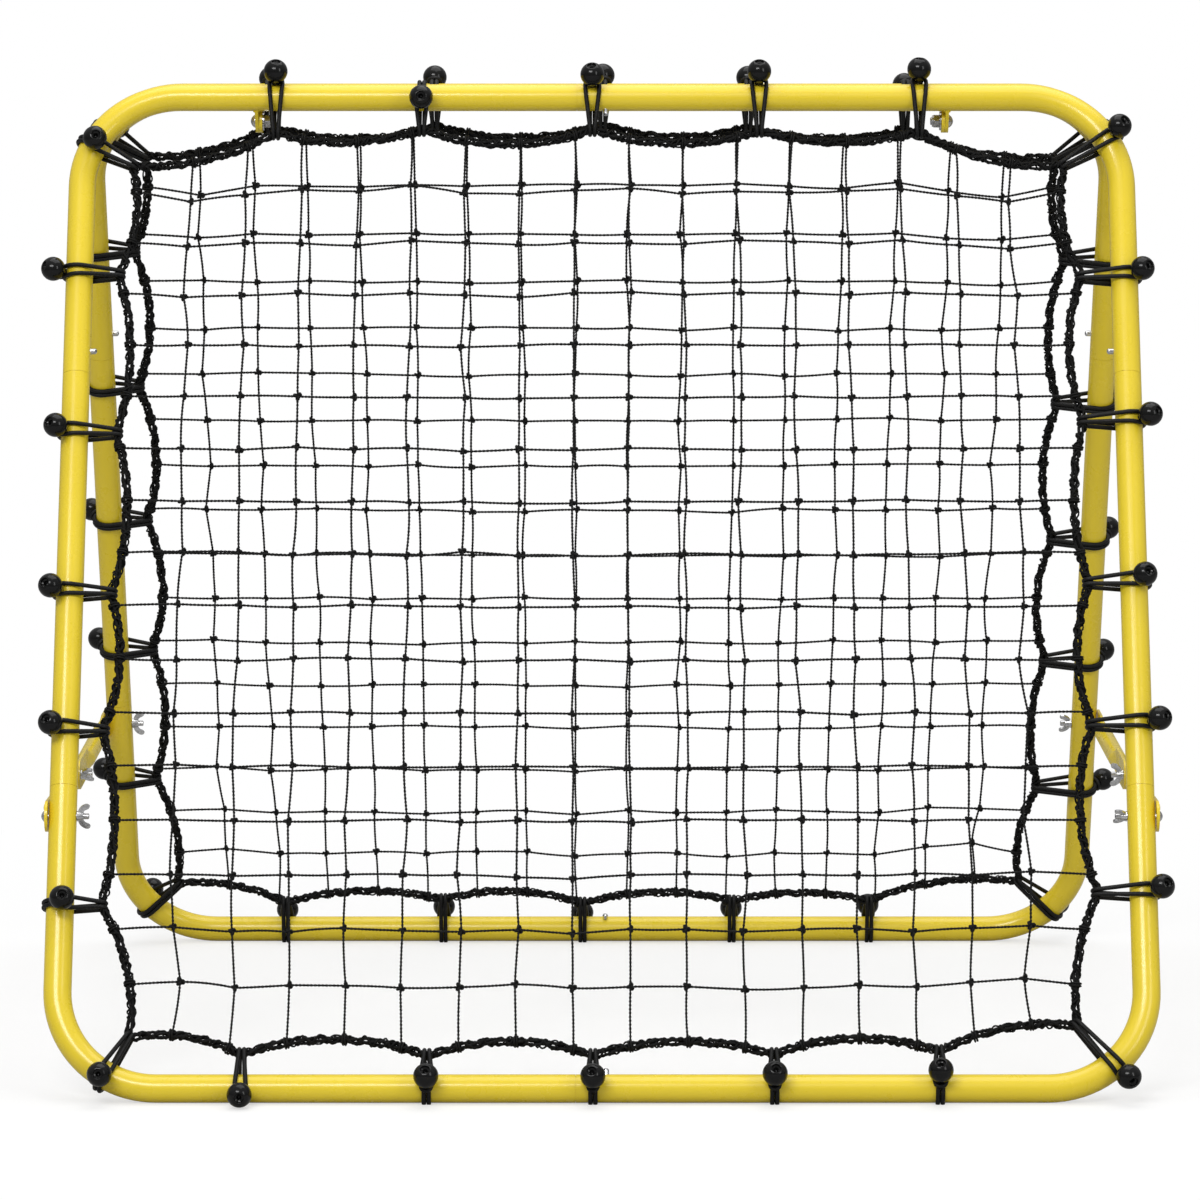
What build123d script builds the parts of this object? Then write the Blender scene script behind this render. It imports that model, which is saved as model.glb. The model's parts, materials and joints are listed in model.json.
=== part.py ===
from build123d import *
import math
import os

# Double-sided pitch back rebounder: two tube frames hinged into an A, a net in each, folding struts at both sides.
# Row frame: X across the goal mouth, -Y towards the front thrower, +Z up, floor at Z = 0, origin under the centre.
# Each frame is drawn flat in its own leaf plane (x across, t up the frame, n out of its playing face).

# ---- Driving dimensions (millimetres and degrees)
TUBE_D = 28.0            # frame tube
TUBE_WALL = 1.2
FRAME_W = 1080.0         # between side tube centres
FRAME_L = 1063.0         # between bottom and top tube centres, along the frame
BEND_R = 100.0           # corner bends, to the tube centre
LEAN = 25.2              # lean of each frame from upright
TOP_SPACING = 34.0       # between the two top tube centres
SEAM_T = 310.0           # side seams, from the bottom and from the top tube centre
SEAM_X = -26.0           # seams of the top and bottom tubes
SEAM_GAP = 0.3
SPIGOT_L = 50.0          # swaged male ends
SPIGOT_FIT = 0.05

HINGE_X = 359.0          # middle of each hinge's two tabs
HINGE_DROP = 25.0        # hinge axis below the top tube centres
TAB_T = 3.5
TAB_R = 12.0
HINGE_BOLT_R = 4.0
HINGE_HEAD_R, HINGE_HEAD_H = 6.8, 5.2
HINGE_FIT = 0.1          # each tab clear of the plane between the two
SEAT_GAP = 0.2           # bolt head clear of what it clamps
WASHER_R, WASHER_T = 9.5, 1.6
LOCK_NUT_FLATS, LOCK_NUT_H = 13.0, 7.6
THREAD_FIT = 0.02        # nut bores and tab scallops over what they hold

STRUT_T = 280.0          # strut pivots, up the frame from the bottom tube centre
STRUT_D = 19.0
STRUT_WALL = 1.2
STRUT_X = 556.0          # strut tube centres
STRUT_SAG = 8.0          # elbow below the line between its pivots, frame open
FLAT_T = 2.8
FLAT_W = 31.0
FLAT_L = 44.0            # pivot flat, from the hole towards the tube
ELBOW_FLAT_L = 82.0      # elbow flat, long enough for the struts to pass each other
FLAT_BLEND = 22.0        # flat to round
ELBOW_OFFSET = 1.6       # each elbow flat, out of or into the strut's own plane
BOLT_R = 3.0
BOLT_HEAD_R, BOLT_HEAD_H = 5.8, 4.0
BOLT_TAIL = 12.0         # strut bolts past the seat of their wing nut
WING_SEAT_GAP = 0.3
HOLE_FIT = 0.05

BUTTON_R = 3.0
BUTTON_OUT = 6.5         # snap button standing out of the tube
BUTTON_SEAM = 26.0       # button from its seam on the side tubes
BUTTON_X = 4.0           # buttons of the top and bottom tubes

ROPE_IN = 48.0           # net rope inside the tube centre line
ROPE_D = 7.0
NET_CELLS = 17
NET_PITCH = 56.7
NET_CORD = 2.5
NET_BEND_R = 46.0        # outer corner of the net's edge cord
NET_TIE_GAP = 0.1
BALL_D = 25.0
BALL_OUT = 31.2          # ball centre from the tube centre
CORD_D = 4.0
CORD_GAP = 0.3           # cord clear of what it wraps
STRAND = 2.3             # each strand from the middle of its bungee

# Bungees, as (distance along the side, ball's angle round the tube from its outer edge towards the playing face)
BUNGEES = {
    "front": {
        "top": [(-340, 49), (-188, 112), (-10, 61), (164, 49), (331, 36)],
        "bottom": [(-356, 64), (-173, 100), (-9, 100), (170, 105), (333, 112)],
        "left": [(187, 98), (370, 65), (516, 55), (689, 55), (864, 32)],
        "right": [(200, 57), (376, 50), (527, 73), (702, 48), (861, 57)],
        "corners": {"top_left": (26, 99), "top_right": (30, 66), "bottom_left": (60, 76), "bottom_right": (50, 45)},
    },
    "rear": {
        "top": [(-349, 77), (-176, 74), (1, 69), (154, 75), (319, 92)],
        "bottom": [(-361, 102), (-181, 112), (-22, 93), (148.5, 108), (305.5, 118)],
        "left": [(206, 42), (378, 48), (546, 46), (714, 50), (880, 50)],
        "right": [(195, 30), (363, 49), (521, 53), (693, 50), (870, 50)],
        "corners": {"top_left": (35, 112), "top_right": (35, 108), "bottom_left": (41, 91), "bottom_right": (44, 55)},
    },
}

# ---- Sizes that follow from them
TUBE_R = TUBE_D / 2
TUBE_BORE_R = TUBE_R - TUBE_WALL
SPIGOT_R = TUBE_BORE_R - SPIGOT_FIT
SPIGOT_BORE_R = SPIGOT_R - TUBE_WALL
HALF_W = FRAME_W / 2
SIN = math.sin(math.radians(LEAN))
COS = math.cos(math.radians(LEAN))
FOOT_Y = TOP_SPACING / 2 + FRAME_L * SIN
LEAF = Plane(origin=(0, -FOOT_Y, TUBE_R), x_dir=(1, 0, 0), z_dir=(0, -COS, SIN))
HINGE_Z = TUBE_R + FRAME_L * COS - HINGE_DROP
PIVOT_Y = FOOT_Y - STRUT_T * SIN
PIVOT_Z = TUBE_R + STRUT_T * COS
ELBOW_Z = PIVOT_Z - STRUT_SAG
STRUT_L = math.hypot(PIVOT_Y, STRUT_SAG)
WING_SEAT_X = HALF_W - TUBE_R - WING_SEAT_GAP

parts = {}


def placed(shape, frame):
    """Stand a shape drawn in the leaf plane up as part of the front or the rear frame."""
    front = LEAF.location * shape
    return front if frame == "front" else mirror(front, about=Plane.XZ)


def turned(shape, frame):
    """The same for a shape with a matching left and right half, which only has to be turned round."""
    front = LEAF.location * shape
    return front if frame == "front" else front.rotate(Axis.Z, 180)


def sided(shape, side):
    """A shape drawn for the right side, or its mirror image for the left."""
    return shape if side == "right" else mirror(shape, about=Plane.YZ)


def rod(start, direction, radius, length):
    """Cylinder from a point along a direction."""
    return Plane(origin=start, z_dir=direction).location * extrude(Circle(radius), length)


def swept(path, radius):
    start = Plane(origin=path @ 0, z_dir=path % 0)
    return sweep(start * Circle(radius), path=path)


# ---- Frame tubes

def tube(points, male_ends):
    """Hollow tube through the points, with a swaged spigot at each listed end (0 first, 1 last)."""
    shoulder = 3.0
    first, last = Vector(*points[0]), Vector(*points[-1])
    out_first = (first - Vector(*points[1])).normalized()
    out_last = (last - Vector(*points[-2])).normalized()
    ends = {0: (first, out_first), 1: (last, out_last)}

    def line(trim):
        inner = [first - out_first * trim[0]] + [Vector(*p) for p in points[1:-1]] + [last - out_last * trim[1]]
        return Line(*inner) if len(inner) == 2 else FilletPolyline(*inner, radius=BEND_R)

    body = swept(line((0, 0)), TUBE_R)
    for end in male_ends:
        point, outward = ends[end]
        body += rod(point - outward, outward, SPIGOT_R, SPIGOT_L + 1)
    trims = tuple(shoulder if end in male_ends else -1 for end in (0, 1))
    body -= swept(line(trims), TUBE_BORE_R)
    for end in male_ends:
        point, outward = ends[end]
        body -= rod(point - outward * (shoulder + 1), outward, SPIGOT_BORE_R, SPIGOT_L + shoulder + 2)
    return body


def corner_tube(top, left):
    """One bent corner, drawn in the leaf plane; the left one carries the male end of the middle seam."""
    t_mid = FRAME_L if top else 0
    t_side = FRAME_L - SEAM_T if top else SEAM_T
    side_x = -HALF_W if left else HALF_W
    seam_x = SEAM_X - SEAM_GAP / 2 if left else SEAM_X + SEAM_GAP / 2
    half_gap = SEAM_GAP / 2 if top else -SEAM_GAP / 2
    shape = tube([(seam_x, t_mid, 0), (side_x, t_mid, 0), (side_x, t_side + half_gap, 0)], [0] if left else [])
    return shape - seam_holes()


def side_tube(left):
    side_x = -HALF_W if left else HALF_W
    low = SEAM_T + SEAM_GAP / 2
    high = FRAME_L - SEAM_T - SEAM_GAP / 2
    return tube([(side_x, low, 0), (side_x, high, 0)], [0, 1]) - seam_holes()


def buttons():
    """Leaf-plane points and inward directions of the four snap buttons of a frame."""
    upper_t = FRAME_L - SEAM_T + BUTTON_SEAM
    return {
        "top": ((BUTTON_X, FRAME_L, 0), (0, -1, 0)),
        "bottom": ((BUTTON_X, 0, 0), (0, 1, 0)),
        "left": ((-HALF_W, upper_t, 0), (1, 0, 0)),
        "right": ((HALF_W, upper_t, 0), (-1, 0, 0)),
    }


def seam_holes():
    """Holes through both walls for the strut bolts and through the inner wall for the snap buttons."""
    cuts = rod((-HALF_W - 20, STRUT_T, 0), (1, 0, 0), BOLT_R + HOLE_FIT, 40)
    cuts += rod((HALF_W - 20, STRUT_T, 0), (1, 0, 0), BOLT_R + HOLE_FIT, 40)
    for point, inward in buttons().values():
        cuts += rod(point, inward, BUTTON_R + HOLE_FIT, 20)
    return cuts


def snap_button(point, inward):
    """Domed pin standing out of the tube's inner side, with the flange that holds it inside the spigot."""
    flange_r, flange_top, flange_t = 4.2, 10.6, 1.2
    tip = TUBE_R + BUTTON_OUT
    stem = rod((0, 0, flange_top - flange_t), (0, 0, 1), BUTTON_R, tip - flange_top + flange_t)
    stem = fillet(stem.edges().sort_by(Axis.Z)[-1], BUTTON_R - 0.4)
    stem += rod((0, 0, flange_top - flange_t), (0, 0, 1), flange_r, flange_t)
    return Plane(origin=point, z_dir=inward).location * stem


for frame in ("front", "rear"):
    for left in (True, False):
        side = "left" if left else "right"
        parts[f"{frame}_top_corner_{side}"] = placed(corner_tube(True, left), frame)
        parts[f"{frame}_side_tube_{side}"] = placed(side_tube(left), frame)
        parts[f"{frame}_bottom_corner_{side}"] = placed(corner_tube(False, left), frame)
    for name, (point, inward) in buttons().items():
        parts[f"{frame}_snap_button_{name}"] = placed(snap_button(point, inward), frame)


# ---- Hinges between the two top tubes

def hinge_tab(frame):
    """Plate welded under one top tube, reaching down to the hinge bolt."""
    tube_y = -TOP_SPACING / 2 if frame == "front" else TOP_SPACING / 2
    start = HINGE_X + HINGE_FIT if frame == "front" else HINGE_X - HINGE_FIT - TAB_T
    root_r = 11.0
    outline = make_hull([
        *(Pos(0, HINGE_Z) * Circle(TAB_R)).edges(),
        *(Pos(tube_y, HINGE_Z + HINGE_DROP) * Circle(root_r)).edges(),
    ])
    side_view = Plane(origin=(start, 0, 0), x_dir=(0, 1, 0), z_dir=(1, 0, 0))
    plate = extrude(side_view * outline, TAB_T)
    plate -= rod((start - 1, tube_y, HINGE_Z + HINGE_DROP), (1, 0, 0), TUBE_R + THREAD_FIT, TAB_T + 2)
    plate -= rod((start - 1, 0, HINGE_Z), (1, 0, 0), HINGE_BOLT_R + HOLE_FIT, TAB_T + 2)
    return plate


def domed_bolt(shank_r, shank_l, head_r, head_h):
    """Bolt along +X from its seat at X = 0, the domed head on the -X side."""
    rim, bevel = 0.8, 0.6
    dome_middle = (-head_h * 0.72, head_r * 0.62)
    profile = make_face([
        Line((0, 0), (-head_h, 0)),
        ThreePointArc((-head_h, 0), dome_middle, (-rim, head_r)),
        Line((-rim, head_r), (0, head_r)),
        Line((0, head_r), (0, shank_r)),
        Line((0, shank_r), (shank_l - bevel, shank_r)),
        Line((shank_l - bevel, shank_r), (shank_l, shank_r - bevel)),
        Line((shank_l, shank_r - bevel), (shank_l, 0)),
        Line((shank_l, 0), (0, 0)),
    ])
    return revolve(profile, axis=Axis.X)


def hex_nut(across_flats, height, bore_r):
    """Locking nut along +X from its seat at X = 0, with a rounded collar on the far end."""
    collar_h, collar_in = height * 0.22, 0.6
    crown_r, bevel = across_flats * 0.56, 0.8
    body = extrude(Plane.YZ * RegularPolygon(across_flats / 2, 6, major_radius=False), height - collar_h)
    body += rod((0, 0, 0), (1, 0, 0), across_flats / 2 - collar_in, height)
    crown = rod((0, 0, 0), (1, 0, 0), crown_r, height)
    crown = chamfer(crown.edges().filter_by(GeomType.CIRCLE), bevel)
    return (body & crown) - rod((-1, 0, 0), (1, 0, 0), bore_r, height + 2)


def mirrored_pair(shape):
    return [sided(shape, "left"), sided(shape, "right")]


for frame in ("front", "rear"):
    parts[f"{frame}_hinge_tabs"] = mirrored_pair(hinge_tab(frame))

outer_face = HINGE_X + HINGE_FIT + TAB_T + SEAT_GAP
inner_face = HINGE_X - HINGE_FIT - TAB_T - SEAT_GAP
nut_face = inner_face - WASHER_T - HINGE_FIT
bolt_tail = 1.8
hinge_bolt_l = outer_face - nut_face + LOCK_NUT_H + bolt_tail
hinge_bolt = domed_bolt(HINGE_BOLT_R, hinge_bolt_l, HINGE_HEAD_R, HINGE_HEAD_H).rotate(Axis.Z, 180)
washer = rod((0, 0, 0), (-1, 0, 0), WASHER_R, WASHER_T)
washer -= rod((1, 0, 0), (-1, 0, 0), HINGE_BOLT_R + SEAT_GAP, WASHER_T + 2)
hinge_nut = hex_nut(LOCK_NUT_FLATS, LOCK_NUT_H, HINGE_BOLT_R + THREAD_FIT).rotate(Axis.Z, 180)
parts["hinge_bolts"] = mirrored_pair(Pos(outer_face, 0, HINGE_Z) * hinge_bolt)
parts["hinge_washers"] = mirrored_pair(Pos(inner_face, 0, HINGE_Z) * washer)
parts["hinge_nuts"] = mirrored_pair(Pos(nut_face, 0, HINGE_Z) * hinge_nut)


# ---- Folding struts

def strut(elbow_offset):
    """Strut along +X from its frame pivot, flats square to Z, the elbow flat shifted along Z."""
    def flat_end(hole_x, inward, length, offset):
        neck_x = hole_x + inward * length
        round_x = neck_x + inward * FLAT_BLEND
        plate = Pos((hole_x + neck_x) / 2, 0, offset) * Box(length, FLAT_W, FLAT_T)
        plate += rod((hole_x, 0, offset - FLAT_T / 2), (0, 0, 1), FLAT_W / 2, FLAT_T)
        plate -= rod((hole_x, 0, offset - FLAT_T), (0, 0, 1), BOLT_R + HOLE_FIT, 2 * FLAT_T)
        flat_section = Plane(origin=(neck_x, 0, offset), x_dir=(0, 1, 0), z_dir=(inward, 0, 0))
        round_section = Plane(origin=(round_x, 0, 0), x_dir=(0, 1, 0), z_dir=(inward, 0, 0))
        blend = loft([flat_section * Rectangle(FLAT_W, FLAT_T), round_section * Circle(STRUT_D / 2)])
        return plate + blend

    round_start = FLAT_L + FLAT_BLEND
    round_l = STRUT_L - round_start - ELBOW_FLAT_L - FLAT_BLEND
    body = rod((round_start, 0, 0), (1, 0, 0), STRUT_D / 2, round_l)
    body += flat_end(0, 1, FLAT_L, 0)
    body += flat_end(STRUT_L, -1, ELBOW_FLAT_L, elbow_offset)
    return body - rod((round_start, 0, 0), (1, 0, 0), STRUT_D / 2 - STRUT_WALL, round_l)


def strut_placed(frame, side):
    """The front strut's elbow flat lies outboard, the rear strut's inboard."""
    outboard = frame == "front"
    facing = 1 if frame == "front" else -1
    shape = strut(ELBOW_OFFSET if outboard else -ELBOW_OFFSET)
    along = Vector(0, facing * PIVOT_Y, -STRUT_SAG)
    seat = Plane(origin=(STRUT_X, -facing * PIVOT_Y, PIVOT_Z), x_dir=along, z_dir=(1, 0, 0))
    return sided(seat.location * shape, side)


def wing_nut():
    """Two-winged nut along +X from its seat at X = 0."""
    hub_h, hub_r, hub_taper = 6.4, 5.2, 1.1
    wing_t = 2.2
    hub_side = Polyline((0, 0), (0, hub_r), (hub_h, hub_r - hub_taper), (hub_h, 0), close=True)
    hub = revolve(make_face(hub_side), axis=Axis.X)
    wing = make_face(Spline((1.0, 3.6), (2.2, 8.0), (6.6, 12.2), (11.2, 13.0), (13.0, 11.0), (11.6, 8.4),
                            (8.0, 6.6), (5.4, 3.4), (3.0, 2.6), periodic=True))
    plate = Pos(0, 0, -wing_t / 2) * extrude(wing, wing_t)
    body = hub + plate + mirror(plate, about=Plane.XZ)
    return body - rod((-1, 0, 0), (1, 0, 0), BOLT_R + HOLE_FIT, 20)


def wing_nut_at(point, side, turn):
    """Wing nut seated at a point, pointing inboard, wings turned about the bolt."""
    nut = wing_nut().rotate(Axis.X, turn).rotate(Axis.Z, 180)
    return sided(Pos(*point) * nut, side)


def strut_bolt(length):
    return domed_bolt(BOLT_R, length, BOLT_HEAD_R, BOLT_HEAD_H).rotate(Axis.Z, 180)


head_seat = STRUT_X + FLAT_T / 2 + SEAT_GAP
frame_bolt = strut_bolt(head_seat - WING_SEAT_X + BOLT_TAIL)
elbow_seat = STRUT_X + ELBOW_OFFSET + FLAT_T / 2 + HINGE_FIT
elbow_split = STRUT_X + ELBOW_OFFSET - FLAT_T / 2
elbow_inner = STRUT_X - ELBOW_OFFSET + FLAT_T / 2
elbow_nut_seat = STRUT_X - ELBOW_OFFSET - FLAT_T / 2 - WING_SEAT_GAP
elbow_head = strut_bolt(elbow_seat - elbow_split)
elbow_stud = rod((elbow_inner, 0, ELBOW_Z), (-1, 0, 0), BOLT_R, elbow_inner - elbow_nut_seat + BOLT_TAIL)

# Turn of each wing nut about its bolt, as left after tightening by hand
WING_TURN = {"front": {"left": 75, "right": 35}, "rear": {"left": 80, "right": 50}, "elbow": {"left": 35, "right": 70}}

for frame in ("front", "rear"):
    pivot_y = -PIVOT_Y if frame == "front" else PIVOT_Y
    parts[f"{frame}_strut_bolts"] = mirrored_pair(Pos(head_seat, pivot_y, PIVOT_Z) * frame_bolt)
    for side in ("left", "right"):
        parts[f"{frame}_strut_{side}"] = strut_placed(frame, side)
        parts[f"{frame}_wing_nut_{side}"] = wing_nut_at((WING_SEAT_X, pivot_y, PIVOT_Z), side, WING_TURN[frame][side])
for side in ("left", "right"):
    parts[f"elbow_bolt_head_{side}"] = sided(Pos(elbow_seat, 0, ELBOW_Z) * elbow_head, side)
    parts[f"elbow_bolt_stud_{side}"] = sided(elbow_stud, side)
    parts[f"elbow_wing_nut_{side}"] = wing_nut_at((elbow_nut_seat, 0, ELBOW_Z), side, WING_TURN["elbow"][side])


# ---- Nets and their ropes

WRAP_R = TUBE_R + CORD_D / 2 + CORD_GAP
LOOP_R = ROPE_D / 2 + CORD_D / 2 + CORD_GAP
ROPE_HALF_W = HALF_W - ROPE_IN
ROPE_HALF_L = FRAME_L / 2 - ROPE_IN
NET_HALF_W = (NET_CELLS * NET_PITCH + NET_CORD) / 2
NET_HALF_L = ROPE_HALF_L - LOOP_R - CORD_D / 2 - NET_TIE_GAP


def net_rope():
    corner = BEND_R - ROPE_IN
    w, low, high = ROPE_HALF_W, FRAME_L / 2 - ROPE_HALF_L, FRAME_L / 2 + ROPE_HALF_L
    path = FilletPolyline((-w, low), (w, low), (w, high), (-w, high), radius=corner, close=True)
    return swept(path, ROPE_D / 2)


def arc_points(radius, x_sign=1, y_sign=1):
    """Quarter circle about the origin, from the y axis to the x axis, as short chords."""
    turns = [math.radians(a) for a in range(0, 91, 15)]
    return [(x_sign * radius * math.sin(a), y_sign * radius * math.cos(a)) for a in turns]


def polygon(points):
    return Wire.make_polygon([Vector(x, y, 0) for x, y in points], close=True)


def net_side(half, reach, along_half):
    """One edge of the net from left to right, a cord end reaching out to the rope at every mesh line, then a corner."""
    points = []
    for k in range(2, NET_CELLS - 1):
        x = (k - NET_CELLS / 2) * NET_PITCH
        near, far = x - NET_CORD / 2, x + NET_CORD / 2
        points += [(near, half), (near, reach), (far, reach), (far, half)]
    return points + [(along_half - NET_BEND_R + x, half - NET_BEND_R + y) for x, y in arc_points(NET_BEND_R)]


def net_outline():
    reach_in = ROPE_D / 2 + NET_TIE_GAP
    level = net_side(NET_HALF_L, ROPE_HALF_L - reach_in, NET_HALF_W)
    upright = net_side(NET_HALF_W, ROPE_HALF_W - reach_in, NET_HALF_L)
    outline = []
    for side, cos, sin in ((level, 1, 0), (upright, 0, -1), (level, -1, 0), (upright, 0, 1)):
        outline += [(x * cos - y * sin, x * sin + y * cos) for x, y in side]
    return polygon(outline)


def mesh_hole(i, j):
    """One mesh opening; the end rows are cut short by the edge cord and the four corners follow its bend."""
    last = NET_CELLS - 1
    half_hole = (NET_PITCH - NET_CORD) / 2
    x, y = (i - last / 2) * NET_PITCH, (j - last / 2) * NET_PITCH
    edge = NET_HALF_L - NET_CORD
    left, right = x - half_hole, x + half_hole
    low, high = max(y - half_hole, -edge), min(y + half_hole, edge)
    if i not in (0, last) or j not in (0, last):
        return polygon([(left, low), (right, low), (right, high), (left, high)])
    sx, sy = (1 if i else -1), (1 if j else -1)
    near_x, far_x = (left, right) if i else (right, left)
    near_y, far_y = (low, high) if j else (high, low)
    arc = [(sx * (NET_HALF_W - NET_BEND_R) + px, sy * (NET_HALF_L - NET_BEND_R) + py)
           for px, py in arc_points(NET_BEND_R - NET_CORD, sx, sy)]
    return polygon([(near_x, near_y), (near_x, far_y), *arc, (far_x, near_y)])


def net():
    """Square-mesh net with its edge cord and the cord ends tied to the rope."""
    cells = range(NET_CELLS)
    holes = [mesh_hole(i, j) for i in cells for j in cells]
    return Pos(0, FRAME_L / 2, -NET_CORD / 2) * extrude(Face(net_outline(), holes), NET_CORD)


# ---- Ball bungees

LEAD = math.pi / 2 + math.asin((WRAP_R - LOOP_R) / ROPE_IN)      # where a strand leaves the tube for the rope


def bungee_strand():
    """Closed taut ring round the tube and the net rope, drawn as (outward, along the tube, out of the face)."""
    tube_touch = (WRAP_R * math.cos(LEAD), WRAP_R * math.sin(LEAD))
    rope_touch = (LOOP_R * math.cos(LEAD) - ROPE_IN, LOOP_R * math.sin(LEAD))
    path = Wire([
        ThreePointArc((tube_touch[0], 0, -tube_touch[1]), (WRAP_R, 0, 0), (tube_touch[0], 0, tube_touch[1])).edge(),
        Line((tube_touch[0], 0, tube_touch[1]), (rope_touch[0], 0, rope_touch[1])).edge(),
        ThreePointArc((rope_touch[0], 0, rope_touch[1]), (-ROPE_IN - LOOP_R, 0, 0),
                      (rope_touch[0], 0, -rope_touch[1])).edge(),
        Line((rope_touch[0], 0, -rope_touch[1]), (tube_touch[0], 0, -tube_touch[1])).edge(),
    ])
    return swept(path, CORD_D / 2)


def reach_at(ball_angle, distance):
    """Distance from the tube centre, longer where the strands have already left the tube."""
    return distance / math.cos(max(math.radians(ball_angle) - LEAD, 0))


def bungee_cord(strand, ball_angle):
    """Both strands of one cord, joined where the loop hooks under its ball."""
    angle = math.radians(ball_angle)
    link_r = 1.4
    reach = reach_at(ball_angle, WRAP_R)
    seat = (reach * math.cos(angle), -STRAND, reach * math.sin(angle))
    return Pos(0, STRAND, 0) * strand + Pos(0, -STRAND, 0) * strand + rod(seat, (0, 1, 0), link_r, 2 * STRAND)


def bungee_ball(ball_angle):
    """Ball resting on its cord, with a stepped recess in its outer end."""
    recess_r, recess_h, hole_r, hole_h = 5.0, 3.0, 2.4, 7.0
    out = reach_at(ball_angle, BALL_OUT)
    top = out + BALL_D / 2
    ball = Pos(out, 0, 0) * Sphere(BALL_D / 2)
    ball -= rod((top - recess_h, 0, 0), (1, 0, 0), recess_r, recess_h + 2)
    ball -= rod((top - hole_h, 0, 0), (1, 0, 0), hole_r, hole_h + 2)
    return ball.rotate(Axis.Y, -ball_angle)


def bungee_seats(layout, x_sign):
    """Leaf-plane seat (tube centre, outward direction) and ball angle of every bungee of a frame."""
    seats = [((x, FRAME_L), (0, 1), angle) for x, angle in layout["top"]]
    seats += [((x, 0), (0, -1), angle) for x, angle in layout["bottom"]]
    seats += [((-HALF_W, t), (-1, 0), angle) for t, angle in layout["left"]]
    seats += [((HALF_W, t), (1, 0), angle) for t, angle in layout["right"]]
    for corner, (bend, angle) in layout["corners"].items():
        sx = -1 if "left" in corner else 1
        st = 1 if "top" in corner else -1
        ox, ot = sx * math.cos(math.radians(bend)), st * math.sin(math.radians(bend))
        centre_t = FRAME_L - BEND_R if st > 0 else BEND_R
        seats.append(((sx * (HALF_W - BEND_R) + BEND_R * ox, centre_t + BEND_R * ot), (ox, ot), angle))
    return [((x_sign * x, t), (x_sign * ox, ot), angle) for (x, t), (ox, ot), angle in seats]


def seated(shape, seat, outward):
    """Move a shape drawn as (outward, along the tube, out of the face) onto the leaf plane."""
    return Plane(origin=(*seat, 0), x_dir=(*outward, 0), z_dir=(0, 0, 1)).location * shape


flat_net = net()
flat_rope = net_rope()
strand = bungee_strand()
for frame in ("front", "rear"):
    parts[f"{frame}_net"] = turned(flat_net, frame)
    parts[f"{frame}_net_rope"] = turned(flat_rope, frame)
    balls, cords = [], []
    for seat, outward, angle in bungee_seats(BUNGEES[frame], 1 if frame == "front" else -1):
        balls.append(turned(seated(bungee_ball(angle), seat, outward), frame))
        cords.append(turned(seated(bungee_cord(strand, angle), seat, outward), frame))
    parts[f"{frame}_bungee_balls"] = balls
    parts[f"{frame}_bungee_cords"] = cords

# ---- One STEP file per node

os.makedirs("parts", exist_ok=True)
for name, shape in parts.items():
    solids = [s for piece in (shape if isinstance(shape, list) else [shape]) for s in piece.solids()]
    export_step(Compound(label=name, children=solids), f"parts/{name}.step")
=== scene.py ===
import json
import math

import bpy
import numpy as np
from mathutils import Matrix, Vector


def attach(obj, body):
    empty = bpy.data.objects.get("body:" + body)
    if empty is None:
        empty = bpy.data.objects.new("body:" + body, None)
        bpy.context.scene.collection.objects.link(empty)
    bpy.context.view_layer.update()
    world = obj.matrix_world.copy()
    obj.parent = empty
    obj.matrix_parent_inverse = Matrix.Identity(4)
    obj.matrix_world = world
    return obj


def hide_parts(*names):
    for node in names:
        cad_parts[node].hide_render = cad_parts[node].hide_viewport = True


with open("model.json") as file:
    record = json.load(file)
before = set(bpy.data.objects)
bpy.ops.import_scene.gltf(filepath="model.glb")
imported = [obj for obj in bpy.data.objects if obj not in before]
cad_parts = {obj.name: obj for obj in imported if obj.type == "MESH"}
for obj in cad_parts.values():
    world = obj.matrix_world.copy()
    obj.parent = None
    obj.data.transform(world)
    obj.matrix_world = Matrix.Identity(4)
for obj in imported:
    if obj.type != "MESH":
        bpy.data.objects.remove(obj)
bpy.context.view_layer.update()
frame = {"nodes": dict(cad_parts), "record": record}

# Pitch back rebounder: the CAD gives tubes, struts and hardware; nets, ropes, cords and balls are built here.
# Lengths are millimetres until the last step. Each frame is drawn in its leaf plane: x across, t up the
# frame from the bottom tube centre, n out of the playing face.

MM = 0.001
TURN = 2 * math.pi
TINY = 1e-12
RNG = np.random.default_rng(41)

# ---- Sizes shared with the CAD model
LEAN = math.radians(25.2)
FRAME_L = 1063.0
HALF_W = 540.0
HALF_GAP = 17.0                 # from the middle to the centre of a top tube
TUBE_R = 14.0
BEND_R = 100.0
FOOT_Y = HALF_GAP + FRAME_L * math.sin(LEAN)    # from the middle to the centre of a bottom tube
MESH = 56.7
CELLS = 17
PIVOT_DROP = 25.0               # hinge bolt below the centres of the top tubes
# Both faces of the hinge tabs, across from the middle
TAB_FACES = {"front": (359.1, 362.6), "rear": (355.4, 358.9)}

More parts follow.
